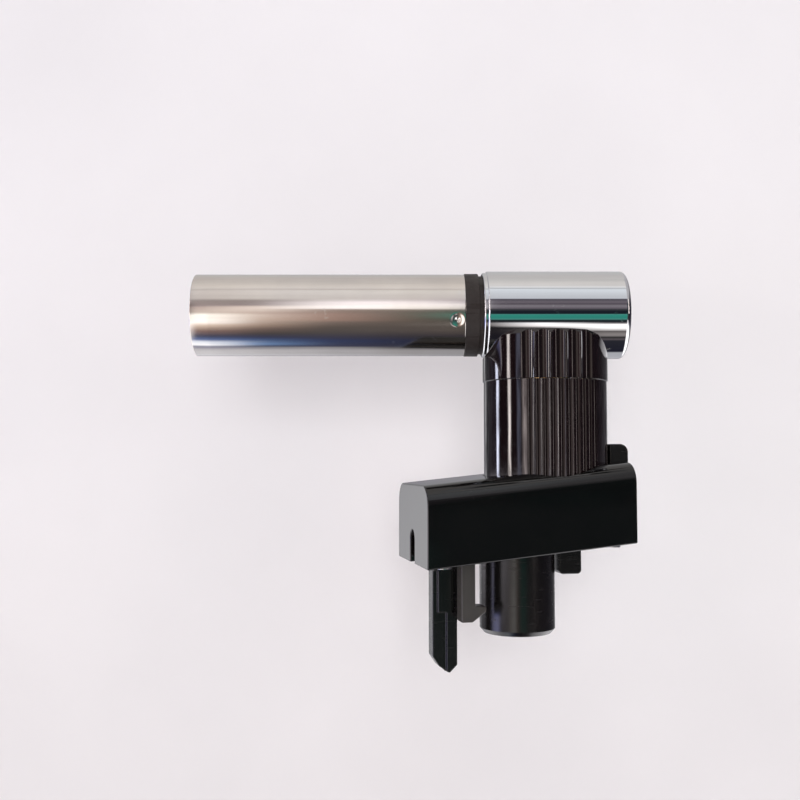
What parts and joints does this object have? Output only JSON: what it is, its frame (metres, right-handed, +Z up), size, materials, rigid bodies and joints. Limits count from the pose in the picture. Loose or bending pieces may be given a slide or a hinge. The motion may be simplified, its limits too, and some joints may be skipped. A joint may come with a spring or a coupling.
{
  "type": "butane torch",
  "caption": "Swivelling butane torch head with a steel flame tube, fluted neck and slanted base that clips onto a fuel tank.",
  "frame": {"origin": "centre of the fuel socket's mouth, on the socket's axis", "axes": "+Z runs up the neck, parallel to the socket's axis; the flame leaves along -X; -Y is the side with the snap hook"},
  "size_m": [0.1325, 0.0531, 0.1201],
  "materials": {
    "stainless": "bright rolled stainless, fine lengthways grain",
    "chrome": "polished chrome plate",
    "phenolic": "matte heat-proof moulding",
    "gloss_black": "glossy moulded black",
    "satin_black": "satin moulded black",
    "brass": "turned brass",
    "steel": "bright zinc-plated or spring steel",
    "ceramic": null,
    "lead_sleeve": "soft insulated lead",
    "white_plastic": "natural moulded acetal",
    "rubber": "black nitrile rubber"
  },
  "bodies": {
    "base": {"neck_core": "brass", "retaining_clip": "steel", "contact_holder": "satin_black", "spark_wiper": "brass", "ignition_lead": "lead_sleeve", "base_shroud": "gloss_black", "base_plate": "satin_black", "base_screws": "steel", "fuel_socket": "satin_black", "socket_seal": "rubber", "inlet_probe": "brass", "valve_body": "brass", "valve_gland": "brass", "valve_spring": "steel", "lever_pin": "steel", "piezo_body": "satin_black", "trigger_spring": "steel", "guide_prong": "satin_black", "locating_key": "satin_black", "latch_pin": "steel", "latch_spring": "steel"},
    "head": {"flame_tube": "stainless", "insulating_collar": "phenolic", "burner_cup": "brass", "flame_disc": "brass", "mixer_tube": "brass", "gas_jet": "brass", "electrode": "steel", "electrode_insulator": "ceramic", "electrode_lead": "lead_sleeve", "head_shell": "chrome", "burner_body": "brass", "neck_collar": "gloss_black", "collar_screws": "steel", "spark_ring": "brass", "swivel_spindle": "brass", "spindle_seals": "rubber"},
    "regulator": {"flame_ring": "gloss_black"},
    "needle": {"needle": "steel", "needle_pin": "steel"},
    "valve_stem": {"valve_stem": "steel"},
    "valve_lever": {"valve_lever": "steel"},
    "piezo_plunger": {"piezo_plunger": "white_plastic"},
    "trigger": {"trigger": "satin_black"},
    "latch": {"snap_hook": "satin_black"}
  },
  "joints": [
    {"name": "head_swivel", "type": "hinge", "parent": "base", "child": "head", "pos_m": [0.00913, 0.00177, 0.08], "axis": [0, 0, 1], "range_deg": [-49, 71]},
    {"name": "flame_ring_turn", "type": "hinge", "parent": "base", "child": "regulator", "pos_m": [0.00913, 0.00177, 0.06], "axis": [0, 0, 1], "range_deg": [-45, 45]},
    {"name": "needle_lift", "type": "slide", "parent": "base", "child": "needle", "axis": [0, 0, 1], "range_m": [-0.0004, 0.0004]},
    {"name": "trigger_slide", "type": "slide", "parent": "base", "child": "trigger", "axis": [0, 0, -1], "range_m": [0, 0.005], "stiffness_N_per_m": 600, "springref_m": -0.008, "deforming": ["trigger_spring"]},
    {"name": "piezo_plunger_slide", "type": "slide", "parent": "base", "child": "piezo_plunger", "axis": [0, 0, -1], "range_m": [0, 0.005]},
    {"name": "valve_lever_rock", "type": "hinge", "parent": "base", "child": "valve_lever", "pos_m": [-0.00011, 0.00843, 0.0425], "axis": [-0.1908, 0.9816, 0], "range_deg": [0, 17]},
    {"name": "valve_stem_lift", "type": "slide", "parent": "base", "child": "valve_stem", "axis": [0, 0, 1], "range_m": [0, 0.0015], "deforming": ["valve_spring"]},
    {"name": "latch_swing", "type": "hinge", "parent": "base", "child": "latch", "pos_m": [-0.01594, -0.01257, 0.0295], "axis": [-0.1908, 0.9816, 0], "range_deg": [0, 8], "stiffness_Nm_per_rad": 0.25, "springref_deg": -14.32, "deforming": ["latch_spring"]}
  ],
  "couplings": [
    {"joint": "needle_lift", "follows": "flame_ring_turn", "m_per_rad": 0.00047746},
    {"joint": "piezo_plunger_slide", "follows": "trigger_slide", "ratio": 1},
    {"joint": "valve_lever_rock", "follows": "trigger_slide", "rad_per_m": 58.824},
    {"joint": "valve_stem_lift", "follows": "trigger_slide", "ratio": 0.29412}
  ]
}
